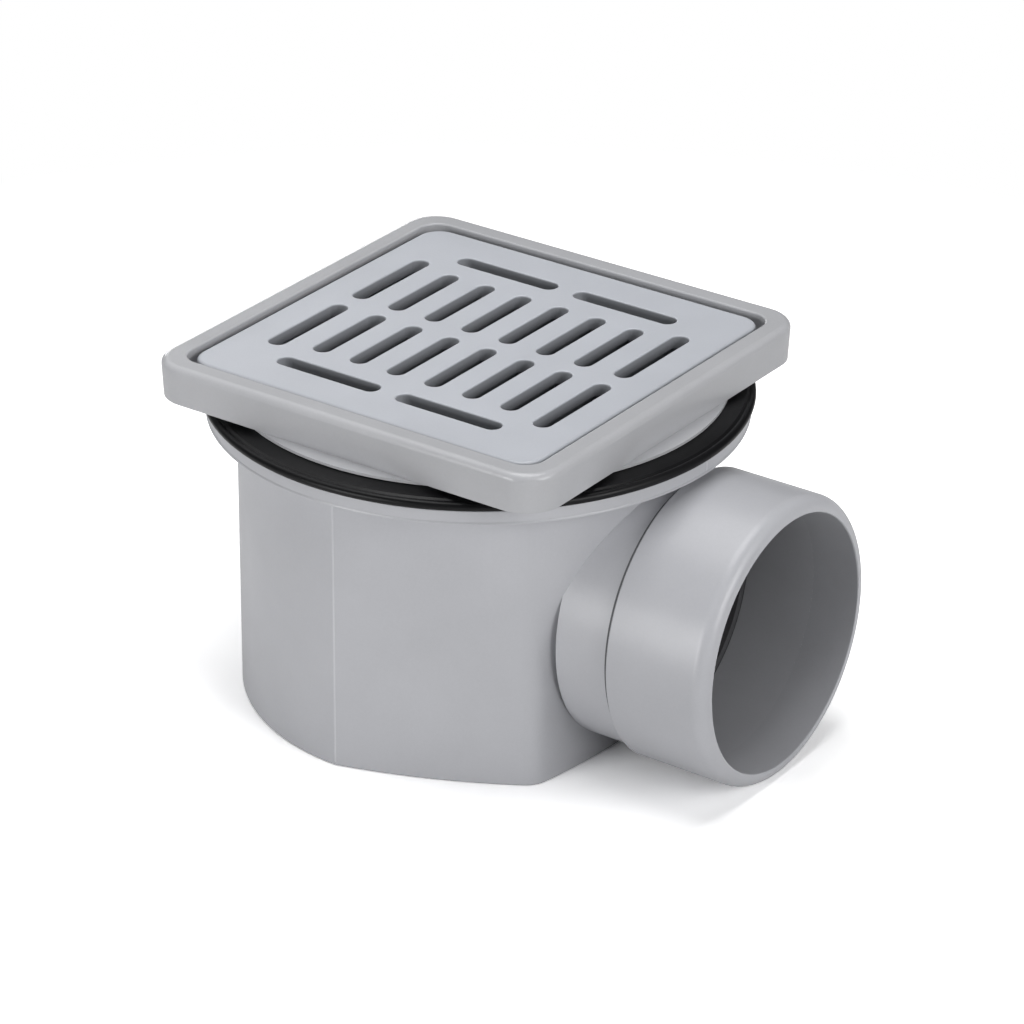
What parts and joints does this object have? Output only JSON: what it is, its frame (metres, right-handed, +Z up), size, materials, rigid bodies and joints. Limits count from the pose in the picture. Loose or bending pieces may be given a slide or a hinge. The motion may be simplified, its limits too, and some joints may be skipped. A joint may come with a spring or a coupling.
{
  "type": "gully trap",
  "caption": "Compact floor gully with a square slotted grate in a turning frame, a lift-out water trap and a horizontal socket outlet for a drain pipe.",
  "frame": {"origin": "on the body's upright axis, at the level the body and the outlet sleeve stand on", "axes": "+X along the outlet, the way the water leaves; +Z up"},
  "size_m": [0.2688, 0.23, 0.157],
  "materials": {
    "body_plastic": "moulded, fine grain",
    "sleeve_plastic": "turned and polished",
    "frame_plastic": "moulded, satin",
    "grate_plastic": "moulded, satin",
    "trap_plastic": "moulded, satin",
    "rubber": "smooth"
  },
  "bodies": {
    "gully_body": {"body": "body_plastic", "outlet_sleeve": "sleeve_plastic", "rim_seal": "rubber"},
    "top": {"frame": "frame_plastic", "grate": "grate_plastic", "cup_gasket": "rubber", "trap_cup": "trap_plastic", "trap_bell": "trap_plastic"}
  },
  "joints": [
    {"name": "frame_turn", "type": "hinge", "parent": "gully_body", "child": "top", "pos_m": [0, 0, 0.135], "axis": [0, 0, 1], "continuous": true}
  ]
}
